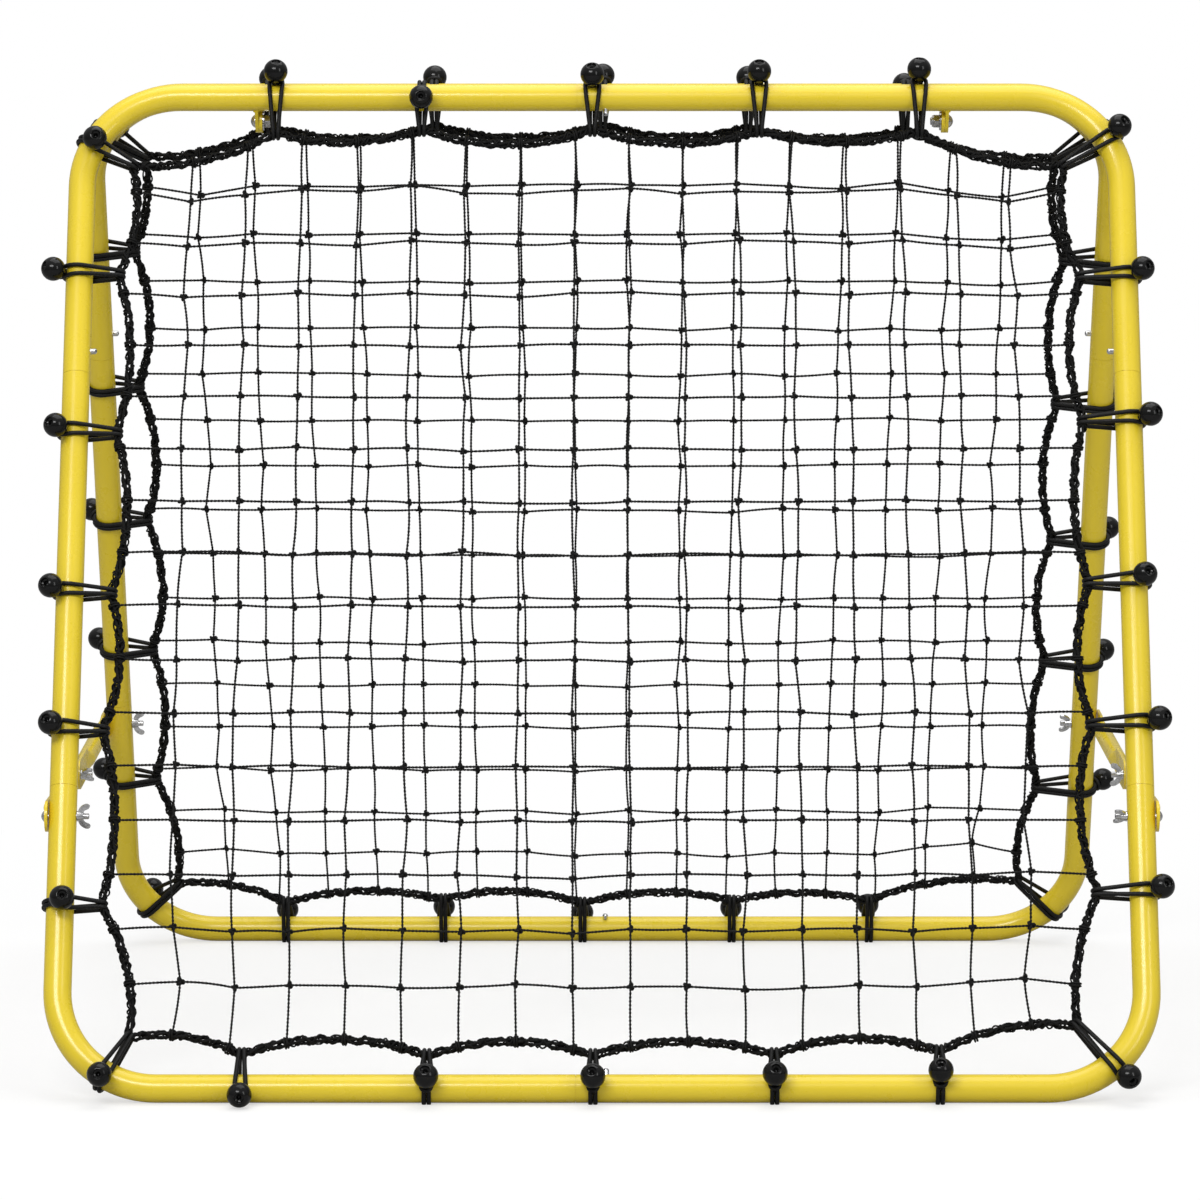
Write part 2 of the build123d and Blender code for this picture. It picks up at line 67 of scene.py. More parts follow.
# Bungees: (distance along the side, ball's angle round the tube, rope drawn in from the tube centre).
# A corner's first number is the angle round the bend instead.
BUNGEES = {
    "front": {
        "left": [(187, 98, 40), (370, 65, 37), (516, 55, 41), (689, 55, 42), (864, 32, 40)],
        "top": [(-340, 49, 40), (-188, 112, 36), (-10, 61, 36), (164, 49, 37), (331, 36, 38)],
        "right": [(861, 57, 44), (702, 48, 46), (527, 73, 45), (376, 50, 46), (200, 57, 45)],
        "bottom": [(333, 112, 37), (170, 105, 34), (-9, 100, 33), (-173, 100, 33), (-356, 64, 34)],
        "corners": {"bottom_left": (60, 76, 43), "top_left": (26, 99, 46),
                    "top_right": (30, 66, 52), "bottom_right": (50, 45, 52)},
    },
    "rear": {
        "left": [(206, 42, 36), (378, 48, 39), (546, 46, 40), (714, 50, 38), (880, 50, 40)],
        "top": [(-349, 77, 36), (-176, 74, 33), (1, 69, 33), (154, 75, 36), (319, 92, 38)],
        "right": [(870, 50, 45), (693, 50, 46), (521, 53, 44), (363, 49, 46), (195, 30, 48)],
        "bottom": [(305.5, 118, 38), (148.5, 108, 38), (-22, 93, 35), (-181, 112, 40), (-361, 102, 36)],
        "corners": {"bottom_left": (41, 91, 42), "top_left": (35, 112, 46),
                    "top_right": (35, 108, 50), "bottom_right": (44, 55, 50)},
    },
}


# ---- Geometry helpers

def leaf(points, which):
    """Leaf-plane points (x, t, n) in mm to row-frame points in metres."""
    p = np.asarray(points, float)
    x, t, n = p[..., 0], p[..., 1], p[..., 2]
    y = -FOOT_Y + t * math.sin(LEAN) - n * math.cos(LEAN)
    z = TUBE_R + t * math.cos(LEAN) + n * math.sin(LEAN)
    if which == "rear":
        y = -y
    return np.stack([x, y, z], axis=-1) * MM


def make_mesh(name, verts, quads, which, material):
    """Mesh object from quads. Leaf-plane verts are stood up on the frame they belong to; with no frame
    named they are already in the row's frame."""
    verts = leaf(verts, which) if which else np.asarray(verts) * MM
    quads = np.asarray(quads, np.int32)
    if which == "rear":
        quads = quads[:, ::-1]
    mesh = bpy.data.meshes.new(name)
    mesh.vertices.add(len(verts))
    mesh.vertices.foreach_set("co", verts.astype(np.float32).ravel())
    mesh.loops.add(quads.size)
    mesh.loops.foreach_set("vertex_index", quads.ravel())
    mesh.polygons.add(len(quads))
    mesh.polygons.foreach_set("loop_start", np.arange(0, quads.size, 4, dtype=np.int32))
    mesh.update(calc_edges=True)
    mesh.polygons.foreach_set("use_smooth", np.ones(len(quads), bool))
    mesh.validate()
    mesh.materials.append(material)
    obj = bpy.data.objects.new(name, mesh)
    bpy.context.collection.objects.link(obj)
    return obj


def unit(vectors):
    """Vectors of length 1."""
    return vectors / (np.linalg.norm(vectors, axis=-1, keepdims=True) + TINY)


def around_circle(count):
    """Evenly spaced angles once round."""
    return np.arange(count) * TURN / count


def ring_quads(rings, around, closed=False):
    """Quads between successive rings of points, and from the last ring to the first if closed."""
    bands = rings if closed else rings - 1
    i, j = np.meshgrid(np.arange(bands), np.arange(around), indexing="ij")
    here, after = i * around, (i + 1) % rings * around
    step = (j + 1) % around
    return np.stack([here + j, here + step, after + step, after + j], axis=-1).reshape(-1, 4)


def carried_normals(tangent, ref):
    """Normals carried along the path from ref without twisting."""
    normal = np.empty_like(tangent)
    n = np.asarray(ref, float)
    for i, direction in enumerate(tangent):
        n = n - n.dot(direction) * direction
        n /= np.linalg.norm(n)
        normal[i] = n
    return normal


TURNED_REF = (0.3, 0.9, 0.2)    # a direction that no turned axis is parallel to


class Builder:
    """Collects swept cords and turned shapes into one mesh."""

    def __init__(self):
        self.verts, self.quads, self.count = [], [], 0

    def add(self, verts, quads):
        self.verts.append(verts)
        self.quads.append(np.asarray(quads) + self.count)
        self.count += len(verts)

    def sweep(self, path, radii, ref=(0, 0, 1), closed=False, carried=False):
        """Tube along path, with one radius for each point and angle. Its angles start from ref at every
        point, or from a normal carried along the path."""
        path = np.asarray(path, float)
        count, around = radii.shape
        if closed:
            tangent = unit(np.roll(path, -1, 0) - np.roll(path, 1, 0))
        else:
            tangent = unit(np.gradient(path, axis=0))
        if carried:
            normal = carried_normals(tangent, ref)
        else:
            ref = np.asarray(ref, float)
            normal = unit(ref - (tangent @ ref)[:, None] * tangent)
        binormal = np.cross(tangent, normal)
        angle = around_circle(around)
        ring = (normal[:, None, :] * np.cos(angle)[None, :, None]
                + binormal[:, None, :] * np.sin(angle)[None, :, None]) * radii[:, :, None]
        verts = (path[:, None, :] + ring).reshape(-1, 3)
        if closed:
            self.add(verts, ring_quads(count, around, closed=True))
            return
        first, last = len(verts), len(verts) + 1
        verts = np.vstack([verts, path[0], path[-1]])
        # Each end is closed by quads from its middle point over two neighbouring edges
        edge = np.arange(0, around, 2)
        second, third = (edge + 1) % around, (edge + 2) % around
        base = (count - 1) * around
        start_cap = np.stack([np.full(len(edge), first), third, second, edge], axis=-1)
        end_cap = np.stack([np.full(len(edge), last), base + edge, base + second, base + third], axis=-1)
        self.add(verts, np.vstack([ring_quads(count, around), start_cap, end_cap]))

    def turned(self, profile, centre, axis, around=32):
        """Solid of revolution: profile is (radius, height) pairs from pole to pole along axis."""
        axis = unit(np.asarray(axis, float))
        side = unit(np.cross(axis, TURNED_REF))
        up = np.cross(axis, side)
        angle = around_circle(around)
        ring = side[None, :] * np.cos(angle)[:, None] + up[None, :] * np.sin(angle)[:, None]
        profile = np.asarray(profile, float)
        radius, height = profile[:, 0, None, None], profile[:, 1, None, None]
        verts = (np.asarray(centre) + axis * height + ring[None] * radius).reshape(-1, 3)
        self.add(verts, ring_quads(len(profile), around))

    def build(self, name, which, material):
        return make_mesh(name, np.vstack(self.verts), np.vstack(self.quads), which, material)


def resample(path, step, closed=False):
    """Points evenly spaced along a polyline, and the distance of each from its start."""
    path = np.asarray(path, float)
    if closed:
        path = np.vstack([path, path[:1]])
    length = np.concatenate([[0], np.cumsum(np.linalg.norm(np.diff(path, axis=0), axis=1))])
    count = max(int(round(length[-1] / step)), 2)
    s = np.linspace(0, length[-1], count + 1)
    if closed:
        s = s[:-1]
    return np.stack([np.interp(s, length, path[:, k]) for k in range(path.shape[1])], axis=-1), s


def loop_noise(count, spacing, amount, rng):
    """Slowly wandering 1-D noise that ends where it starts."""
    knots = max(int(count / spacing), 4)
    values = rng.normal(0, amount, knots + 1)
    values[-1] = values[0]
    x = np.linspace(0, knots, count)
    base = np.floor(x).astype(int).clip(0, knots - 1)
    f = x - base
    f = f * f * (3 - 2 * f)
    return values[base] * (1 - f) + values[base + 1] * f


def smoothed(path, passes, closed=True):
    """Path with each point averaged with its neighbours; an open path keeps its ends."""
    for _ in range(passes):
        if closed:
            path = (np.roll(path, 1, 0) + 2 * path + np.roll(path, -1, 0)) / 4
        else:
            path[1:-1] = (path[:-2] + 2 * path[1:-1] + path[2:]) / 4
    return path


# ---- Materials. A colour given as one number is a grey.

WHITE = (1, 1, 1, 1)


def rgba(colour):
    return (*colour, 1) if isinstance(colour, tuple) else (colour, colour, colour, 1)


def node_material(name):
    material = bpy.data.materials.new(name)
    material.use_nodes = True
    tree = material.node_tree
    return material, tree, tree.nodes["Principled BSDF"]


def put(node, **values):
    for key, value in values.items():
        node.inputs[key.replace("_", " ")].default_value = value


def add(tree, kind, **values):
    node = tree.nodes.new(kind)
    put(node, **values)
    return node


def object_coords(tree):
    return tree.nodes.new("ShaderNodeTexCoord").outputs["Object"]


def noise(tree, coords, scale, detail=3.0, roughness=0.55):
    node = add(tree, "ShaderNodeTexNoise", Scale=scale, Detail=detail, Roughness=roughness)
    tree.links.new(coords, node.inputs["Vector"])
    return node.outputs["Fac"]


def ramp(tree, fac, low, high):
    """Colour ramp between two (position, colour) stops."""
    node = tree.nodes.new("ShaderNodeValToRGB")
    for element, (position, colour) in zip(node.color_ramp.elements, (low, high)):
        element.position = position
        element.color = rgba(colour)
    tree.links.new(fac, node.inputs["Fac"])
    return node.outputs["Color"]


def mixed(tree, fac, a, b, blend="MIX"):
    """Colour mix of a and b, each a colour or another node's output; fac is a number or an output."""
    node = tree.nodes.new("ShaderNodeMix")
    node.data_type = "RGBA"
    node.blend_type = blend
    if isinstance(fac, float):
        node.inputs[0].default_value = fac
    else:
        tree.links.new(fac, node.inputs[0])
    for socket, value in ((node.inputs[6], a), (node.inputs[7], b)):
        if isinstance(value, (float, tuple)):
            socket.default_value = rgba(value)
        else:
            tree.links.new(value, socket)
    return node.outputs[2]


def bump(tree, height, strength, distance):
    node = add(tree, "ShaderNodeBump", Strength=strength, Distance=distance)
    tree.links.new(height, node.inputs["Height"])
    return node.outputs["Normal"]


def finish_surface(tree, shader, colour, roughness, normal):
    """Plugs the three textured outputs into the shader."""
    for socket, source in (("Base Color", colour), ("Roughness", roughness), ("Normal", normal)):
        tree.links.new(source, shader.inputs[socket])


def powder_coat():
    """Gloss yellow powder coat: faint orange peel, tone drift, dulled scuffs and a few chips."""
    material, tree, shader = node_material("yellow_powder_coat")
    coords = object_coords(tree)
    dull_yellow, bright_yellow = (0.770, 0.580, 0.024), (0.800, 0.608, 0.030)
    ochre, primer = (0.60, 0.40, 0.03), (0.30, 0.24, 0.11)
    tone = ramp(tree, noise(tree, coords, 9.0, 4.0), (0.3, dull_yellow), (0.7, bright_yellow))
    specks = ramp(tree, noise(tree, coords, 420.0, 2.0), (0.70, 0.0), (0.78, 1.0))
    tone = mixed(tree, mixed(tree, 0.25, 0.0, specks), tone, ochre)
    chips = ramp(tree, noise(tree, coords, 75.0, 6.0, 0.7), (0.765, 0.0), (0.775, 1.0))
    haze = ramp(tree, noise(tree, coords, 26.0, 6.0, 0.65), (0.35, 0.25), (0.72, 0.33))
    peel = bump(tree, noise(tree, coords, 560.0, 2.0), 0.08, 0.0004)
    finish_surface(tree, shader, mixed(tree, chips, tone, primer), haze, peel)
    put(shader, Coat_Weight=0.22, Coat_Roughness=0.12, Specular_IOR_Level=0.42)
    return material


def zinc():
    """Bright zinc plate with fine machining lines, dull patches and a little darkening."""
    material, tree, shader = node_material("zinc_steel")
    coords = object_coords(tree)
    dull_zinc, bright_zinc, grime_brown = (0.42, 0.42, 0.42), (0.76, 0.76, 0.77), (0.10, 0.095, 0.085)
    tone = ramp(tree, noise(tree, coords, 160.0, 4.0), (0.3, dull_zinc), (0.7, bright_zinc))
    grime = ramp(tree, noise(tree, coords, 340.0, 3.0), (0.57, 0.0), (0.74, 0.7))
    haze = ramp(tree, noise(tree, coords, 240.0, 4.0), (0.3, 0.12), (0.75, 0.32))
    grain = bump(tree, noise(tree, coords, 1500.0, 2.0), 0.12, 0.0003)
    finish_surface(tree, shader, mixed(tree, grime, tone, grime_brown), haze, grain)
    put(shader, Metallic=1.0)
    return material


def fibre(name, dark, light, scale, rough, strength):
    """Black twine or rope: strand-level tone drift, faint dusty fibres, soft sheen and a fibrous bump."""
    material, tree, shader = node_material(name)
    coords = object_coords(tree)
    dust = (0.05, 0.048, 0.046)
    tone = ramp(tree, noise(tree, coords, scale, 4.0, 0.6), (0.35, dark), (0.75, light))
    lint = ramp(tree, noise(tree, coords, scale * 3.1, 5.0, 0.7), (0.70, 0.0), (0.80, 0.35))
    sheen = ramp(tree, noise(tree, coords, scale * 0.6, 3.0), (0.3, rough - 0.1), (0.7, rough + 0.1))
    hairs = bump(tree, noise(tree, coords, scale * 2.3, 3.0), strength, 0.0005)
    finish_surface(tree, shader, mixed(tree, lint, tone, dust), sheen, hairs)
    put(shader, Specular_IOR_Level=0.16)
    return material


def woven_cord():
    """Elastic cord's tight black braid: two crossed diagonal wave sets as the bump, and as painted shade that
    darkens the colour in the braid's grooves against its ridges."""
    material, tree, shader = node_material("black_cord")
    coords = object_coords(tree)
    dust = (0.035, 0.034, 0.033)
    heights = []
    for direction in ((1.0, 0.7, 0.9), (-1.0, 0.8, 0.7)):
        mapping = add(tree, "ShaderNodeMapping", Rotation=direction)
        tree.links.new(coords, mapping.inputs["Vector"])
        wave = add(tree, "ShaderNodeTexWave", Scale=260.0, Distortion=0.6, Detail=1.0)
        tree.links.new(mapping.outputs["Vector"], wave.inputs["Vector"])
        heights.append(wave.outputs["Color"])
    braid = mixed(tree, 1.0, heights[0], heights[1], "MULTIPLY")
    # Painted shade: the colour follows the braid's height, darker in the grooves and lighter on the ridges
    tone = ramp(tree, braid, (0.1, 0.003), (0.9, 0.010))
    lint = ramp(tree, noise(tree, coords, 700.0, 4.0), (0.68, 0.0), (0.80, 0.3))
    sheen = ramp(tree, noise(tree, coords, 90.0, 3.0), (0.3, 0.38), (0.7, 0.55))
    finish_surface(tree, shader, mixed(tree, lint, tone, dust), sheen, bump(tree, braid, 0.35, 0.0004))
    put(shader, Specular_IOR_Level=0.22)
    return material


def gloss_plastic():
    """Moulded black plastic: near-mirror gloss with a soft ripple, handling haze and hairline scuffs."""
    material, tree, shader = node_material("black_plastic")
    coords = object_coords(tree)
    tone = ramp(tree, noise(tree, coords, 60.0, 3.0), (0.3, 0.003), (0.7, 0.006))
    scuffs = ramp(tree, noise(tree, coords, 330.0, 6.0, 0.75), (0.66, 0.0), (0.74, 0.4))
    haze = ramp(tree, noise(tree, coords, 120.0, 5.0, 0.65), (0.35, 0.08), (0.75, 0.20))
    ripple = bump(tree, noise(tree, coords, 210.0, 2.0), 0.08, 0.0006)
    finish_surface(tree, shader, mixed(tree, scuffs, tone, 0.016), haze, ripple)
    put(shader, Specular_IOR_Level=0.24)
    return material


YELLOW = powder_coat()
ZINC = zinc()
TWINE = fibre("black_twine", 0.004, 0.012, 900.0, 0.66, 0.5)
ROPE = fibre("black_rope", 0.0035, 0.011, 700.0, 0.75, 0.7)
CORD = woven_cord()
PLASTIC = gloss_plastic()
CAD_LOOKS = {"yellow_powder_coat": YELLOW, "zinc_steel": ZINC}


def dress_cad():
    for sub in frame["record"]["subparts"]:
        look = CAD_LOOKS.get(sub["material_slot"])
        if look:
            node = frame["nodes"][sub["node"]]
            node.data.materials.clear()
            node.data.materials.append(look)


# ---- Bungee seats and the rope's path between them

OUTWARD = {"left": (-1, 0), "right": (1, 0), "top": (0, 1), "bottom": (0, -1)}


def side_seats(layout, side):
    """(tube centre, outward direction, ball angle, rope distance) of every bungee on one side."""
    across, up = OUTWARD[side]
    seats = []
    for s, angle, drawn in layout[side]:
        centre = (across * HALF_W, s) if across else (s, FRAME_L if up > 0 else 0)
        seats.append((centre, (across, up), angle, drawn))
    return seats


def corner_seat(layout, corner):
    """The same for the bungee on one corner bend."""
    bend, angle, drawn = layout["corners"][corner]
    across = -1 if "left" in corner else 1
    up = 1 if "top" in corner else -1
    outward = (across * math.cos(math.radians(bend)), up * math.sin(math.radians(bend)))
    bend_x = across * (HALF_W - BEND_R)
    bend_t = FRAME_L - BEND_R if up > 0 else BEND_R
    centre = (bend_x + BEND_R * outward[0], bend_t + BEND_R * outward[1])
    return centre, outward, angle, drawn


def all_seats(layout):
    """Clockwise from the bottom left corner, as the front thrower sees it."""
    seats = []
    for corner, side in (("bottom_left", "left"), ("top_left", "top"), ("top_right", "right"),
                         ("bottom_right", "bottom")):
        seats.append(corner_seat(layout, corner))
        seats += side_seats(layout, side)
    return seats


SAG = 0.082                     # share of the gap between two bungees
SAG_SPREAD = (0.85, 1.15)
SAG_SKEW = 0.06
SAG_SHARPNESS = 2.2             # higher gives tighter cusps
SAG_POINTS = 40
ROPE_STEP = 1.2
ROPE_SMOOTHING = 10


def rope_path(seats, rng):
    """Closed scalloped path: a cusp at every bungee, sagging in towards the net between them."""
    anchors = [np.array([p[0] - o[0] * drawn, p[1] - o[1] * drawn]) for p, o, _, drawn in seats]
    middle = np.array([0.0, FRAME_L / 2])
    points = []
    for k, start in enumerate(anchors):
        end = anchors[(k + 1) % len(anchors)]
        chord = end - start
        length = np.linalg.norm(chord)
        inward = np.array([-chord[1], chord[0]]) / length
        if inward.dot(middle - start) < 0:
            inward = -inward
        sag = SAG * length * rng.uniform(*SAG_SPREAD)
        skew = rng.uniform(-SAG_SKEW, SAG_SKEW)
        for s in np.linspace(0, 1, SAG_POINTS, endpoint=False):
            bow = 1 - abs(2 * (s + skew * s * (1 - s)) - 1) ** SAG_SHARPNESS
            points.append(start + chord * s + inward * sag * bow)
    path, _ = resample(np.array(points), ROPE_STEP, closed=True)
    path = smoothed(path, ROPE_SMOOTHING)
    n = loop_noise(len(path), 90, 0.9, rng)
    return np.column_stack([path, n])


# ---- Border ropes: three twisted cores lashed both ways, with gaps that let the light through

CORE_R = 1.55
CORE_REACH = 2.5
CORE_PITCH = 43.0
LAY_PITCH = 7.0                 # of the yarns in one core
LASH_R = 0.95
# (pitch, phase, reach); a negative pitch winds the other way
LASHES = [(8.7, 0.0, 4.1), (-11.6, 1.2, 4.0), (13.6, 2.1, 4.2), (-23.0, 4.1, 4.2)]


def border_rope(which, path, rng):
    build = Builder()
    count = len(path)
    step = np.linalg.norm(path[1] - path[0])
    length = step * count
    s = np.arange(count) * step
    tangent = unit(np.roll(path, -1, 0) - np.roll(path, 1, 0))
    up = np.array([0.0, 0.0, 1.0])
    side = unit(np.cross(tangent, up))

    def strand(reach, pitch, phase):
        """Path winding round the rope's middle, a little unevenly."""
        angle = TURN * round(length / pitch) * s / length + phase
        angle = angle + loop_noise(count, 25, 0.35, rng)
        uneven = reach * (1 + loop_noise(count, 12, 0.10, rng))
        return path + side * (np.cos(angle) * uneven)[:, None] + up * (np.sin(angle) * uneven)[:, None]

    theta = around_circle(8)
    for phase in (0, TURN / 3, 2 * TURN / 3):
        fuzz = 1 + rng.normal(0, 0.07, (count, len(theta)))
        lobes = 1 + 0.16 * np.cos(3 * (theta[None, :] - TURN * s[:, None] / LAY_PITCH))
        build.sweep(strand(CORE_REACH, CORE_PITCH, phase), CORE_R * lobes * fuzz, closed=True)
    for pitch, phase, reach in LASHES:
        fuzz = 1 + rng.normal(0, 0.10, (count, 6))
        build.sweep(strand(reach, pitch, phase), LASH_R * fuzz, closed=True)
    return build.build(f"{which}_border_rope", which, ROPE)


# ---- Nets: two-ply twine, a knot at every crossing, tied round the rope at the ends

TWINE_R = 1.08
TWINE_STEP = 1.1
TWINE_PITCH = 7.6
TWINE_POINTS = 12               # from one crossing to the next, before even spacing
TWINE_LIFT = 0.75               # one set of cords passes this far in front of the middle, the other behind
NET_BELLY = 5.0                 # how far the middle of the net hangs back
CROSSING_DRIFT = 1.25
EDGE_PULL = 0.5                 # share of an edge's shift that each row further in keeps
KNOT_SIZES = (1.15, 1.42)
KNOT_POINTS = 22
TIE_REACH = 5.3
TIE_SHIFTS = (-1.2, 1.2)        # along the rope, for the two turns of a tie
TIE_POINTS = 18


def net_nodes(path, rng):
    """(CELLS + 1) square grid of crossings; the outer ones lie on the rope."""
    lines = (np.arange(CELLS + 1) - CELLS / 2) * MESH
    middle = FRAME_L / 2
    half = CELLS * MESH / 2
    nodes = np.zeros((CELLS + 1, CELLS + 1, 3))
    nodes[..., 0] = lines[:, None]
    nodes[..., 1] = middle + lines[None, :]
    xy = path[:, :2]

    def rope_at(axis, value, sign):
        """Where the rope's side, on the low or high side of the net, meets a cord."""
        other = 1 - axis
        offset = middle if other == 1 else 0.0
        side = np.where(sign * (xy[:, other] - offset) > half * 0.8)[0]
        return xy[side[np.argmin(np.abs(xy[side, axis] - value))]]

    near, far = EDGE_PULL ** np.arange(CELLS + 1), EDGE_PULL ** np.arange(CELLS, -1, -1)
    for k in range(1, CELLS):
        x, t = lines[k], middle + lines[k]
        low, high = rope_at(0, x, -1)[1], rope_at(0, x, 1)[1]
        left, right = rope_at(1, t, -1)[0], rope_at(1, t, 1)[0]
        nodes[k, :, 1] += (low - middle + half) * near + (high - middle - half) * far
        nodes[:, k, 0] += (left + half) * near + (right - half) * far
    inner = nodes[1:-1, 1:-1]
    inner[..., :2] += rng.normal(0, CROSSING_DRIFT, inner.shape)[..., :2]
    dome = np.sin(np.linspace(0, math.pi, CELLS + 1))
    nodes[..., 2] = -NET_BELLY * dome[:, None] * dome[None, :] + rng.normal(0, 0.4, nodes.shape[:2])
    return nodes


def twine(build, points, rng, lift):
    """One two-ply cord through the crossings, raised off the middle of the net by lift."""
    dense = []
    for a, b in zip(points[:-1], points[1:]):
        slack, sag = rng.normal(0, 0.5, 2)
        for f in np.linspace(0, 1, TWINE_POINTS, endpoint=False):
            dense.append(a + (b - a) * f + np.array([slack, slack, sag]) * 4 * f * (1 - f))
    dense.append(points[-1])
    path, s = resample(np.array(dense), TWINE_STEP)
    path = smoothed(path, 2, closed=False)
    path[:, 2] += lift
    pitch = TWINE_PITCH * rng.uniform(0.92, 1.08)
    twist = around_circle(8)[None, :] - TURN * s[:, None] / pitch
    plies = 1 + 0.30 * np.cos(2 * twist + rng.uniform(0, 6))
    build.sweep(path, TWINE_R * plies * (1 + rng.normal(0, 0.035, plies.shape)))


def knot(build, centre, rng, size):
    """Small overhand knot: a trefoil of the same twine, drawn tight."""
    u = around_circle(KNOT_POINTS)
    turn = rng.uniform(0, TURN)
    x = 1.15 * size * (np.sin(u) + 1.3 * np.sin(2 * u))
    y = 1.15 * size * (np.cos(u) - 1.3 * np.cos(2 * u))
    z = 1.25 * size * -np.sin(3 * u)
    c, s = math.cos(turn), math.sin(turn)
    path = np.stack([x * c - y * s, x * s + y * c, z], axis=-1) + centre
    build.sweep(path, np.full((KNOT_POINTS, 6), 1.12 * size), ref=(0.3, 0.2, 1), closed=True, carried=True)


def tie(build, centre, tangent, rng):
    """Turns of twine round the rope where a cord of the net ends."""
    tangent = unit(tangent)
    up = np.array([0.0, 0.0, 1.0])
    side = np.cross(tangent, up)
    u = around_circle(TIE_POINTS)
    for shift in TIE_SHIFTS:
        reach = TIE_REACH * (1 + rng.normal(0, 0.04, TIE_POINTS))
        along = tangent * (shift + 0.8 * np.sin(u))[:, None]
        ring = centre + along + side * (np.cos(u) * reach)[:, None] + up * (np.sin(u) * reach)[:, None]
        build.sweep(ring, np.full((TIE_POINTS, 6), 1.05), ref=tangent, closed=True)


def net(which, path, rng):
    nodes = net_nodes(path, rng)
    twines, knots = Builder(), Builder()
    for k in range(1, CELLS):
        twine(twines, nodes[k], rng, TWINE_LIFT)
        twine(twines, nodes[:, k], rng, -TWINE_LIFT)
        for j in range(1, CELLS):
            knot(knots, nodes[k, j], rng, rng.uniform(*KNOT_SIZES))
    tangent = np.roll(path, -3, 0) - np.roll(path, 3, 0)
    for k in range(1, CELLS):
        for end in (nodes[k, 0], nodes[k, -1], nodes[0, k], nodes[-1, k]):
            nearest = np.argmin(np.linalg.norm(path[:, :2] - end[:2], axis=1))
            tie(knots, path[nearest], tangent[nearest], rng)
    return twines.build(f"{which}_net_twine", which, TWINE), knots.build(f"{which}_net_knots", which, TWINE)


# ---- Ball bungees

CORD_R = 2.3
CORD_GAP = 0.1
ROPE_R = 3.7                    # where the cord grips the rope
WRAP_R = TUBE_R + CORD_R + CORD_GAP
LOOP_R = ROPE_R + CORD_R + CORD_GAP
STRAND_GAP = 2.4                # half the distance between the two strands
CORD_STEP = 0.9
FAN, WIDE_FAN = (5.4, 6.2), (6.7, 7.5)      # half the width of the bight round a ball's neck
BALL_R = 12.5
BALL_OUT = 30.4
BALL_TILT = 0.07
RECESS_R = 4.9
LIP_R = 5.3
NECK_R = 4.6


def lead_angle(drawn):
    """Angle round the tube, from straight outward, where the cord leaves it for the rope drawn mm in."""
    return math.pi / 2 + math.asin((WRAP_R - LOOP_R) / drawn)


def belt_marks(drawn):
    """Distances along the taut path where it leaves the tube, meets the rope, leaves the rope, and closes."""
    lead = lead_angle(drawn)
    wrap = WRAP_R * lead
    straight = math.sqrt(drawn ** 2 - (WRAP_R - LOOP_R) ** 2)
    loop = 2 * LOOP_R * (math.pi - lead)
    return wrap, wrap + straight, wrap + straight + loop, 2 * (wrap + straight) + loop


def on_belt(distance, drawn, lift):
    """(outward, out of the face) at a distance along the taut path, raised by lift off tube and rope."""
    lead = lead_angle(drawn)
    leaves_tube, meets_rope, _, total = belt_marks(drawn)
    d = distance % total
    behind = d > total / 2
    if behind:
        d = total - d
    if d <= leaves_tube:
        o = (WRAP_R + lift) * math.cos(d / WRAP_R)
        n = (WRAP_R + lift) * math.sin(d / WRAP_R)
    elif d <= meets_rope:
        run = d - leaves_tube
        o = (WRAP_R + lift) * math.cos(lead) - run * math.sin(lead)
        n = (WRAP_R + lift) * math.sin(lead) + run * math.cos(lead)
    else:
        angle = lead + (d - meets_rope) / LOOP_R
        o = (LOOP_R + lift) * math.cos(angle) - drawn
        n = (LOOP_R + lift) * math.sin(angle)
    return o, -n if behind else n


def bungee_path(ball_angle, drawn, fan):
    """Both strands of one cord: a pair from under the ball, behind the tube, round the rope and back over
    the front of the tube, opening into a bight that hooks round the ball's neck."""
    _, meets_rope, leaves_rope, total = belt_marks(drawn)
    neck = WRAP_R * math.radians(ball_angle)
    under_ball = total + neck
    # (distance along the taut path, half the distance between the strands, lift off the tube)
    marks = [(neck - 9, 0, 4.4), (neck - 8.5, 3.4, 4.2), (neck - 6.5, fan - 1, 2.8), (neck - 1, fan, 0.9),
             (neck + 4, fan, 0.2)]
    room_before_rope = meets_rope - 2 >= neck + 12
    if room_before_rope:
        marks.append((neck + 9, fan - 0.4, 0))
    marks += [(meets_rope - 2, STRAND_GAP + 0.2, 0), (meets_rope + 4, STRAND_GAP, 0),
              (leaves_rope, STRAND_GAP, 0), (leaves_rope + 12, STRAND_GAP + 0.05, 0),
              (under_ball - 8, STRAND_GAP, 0), (under_ball - 1.5, STRAND_GAP - 0.1, 0)]
    at, half_gap, lift = (np.array(column) for column in zip(*marks))
    steps = np.arange(at[0], at[-1], CORD_STEP)
    lifts = smoothed(np.interp(steps, at, lift)[:, None], 4, closed=False)[:, 0]
    right = []
    for distance, gap, up in zip(steps, np.interp(steps, at, half_gap), lifts):
        o, n = on_belt(distance, drawn, up)
        right.append((o, gap, n))
    right = np.array(right)
    left = right * np.array([1, -1, 1])
    path, _ = resample(np.vstack([right[::-1], left[1:]]), 1.2)
    return smoothed(path, 6, closed=False)


def seated(points, seat, outward):
    """(outward, along the tube, out of the face) to leaf-plane coordinates."""
    o, a, n = points[..., 0], points[..., 1], points[..., 2]
    x = seat[0] + o * outward[0] - a * outward[1]
    t = seat[1] + o * outward[1] + a * outward[0]
    return np.stack([x, t, n], axis=-1)


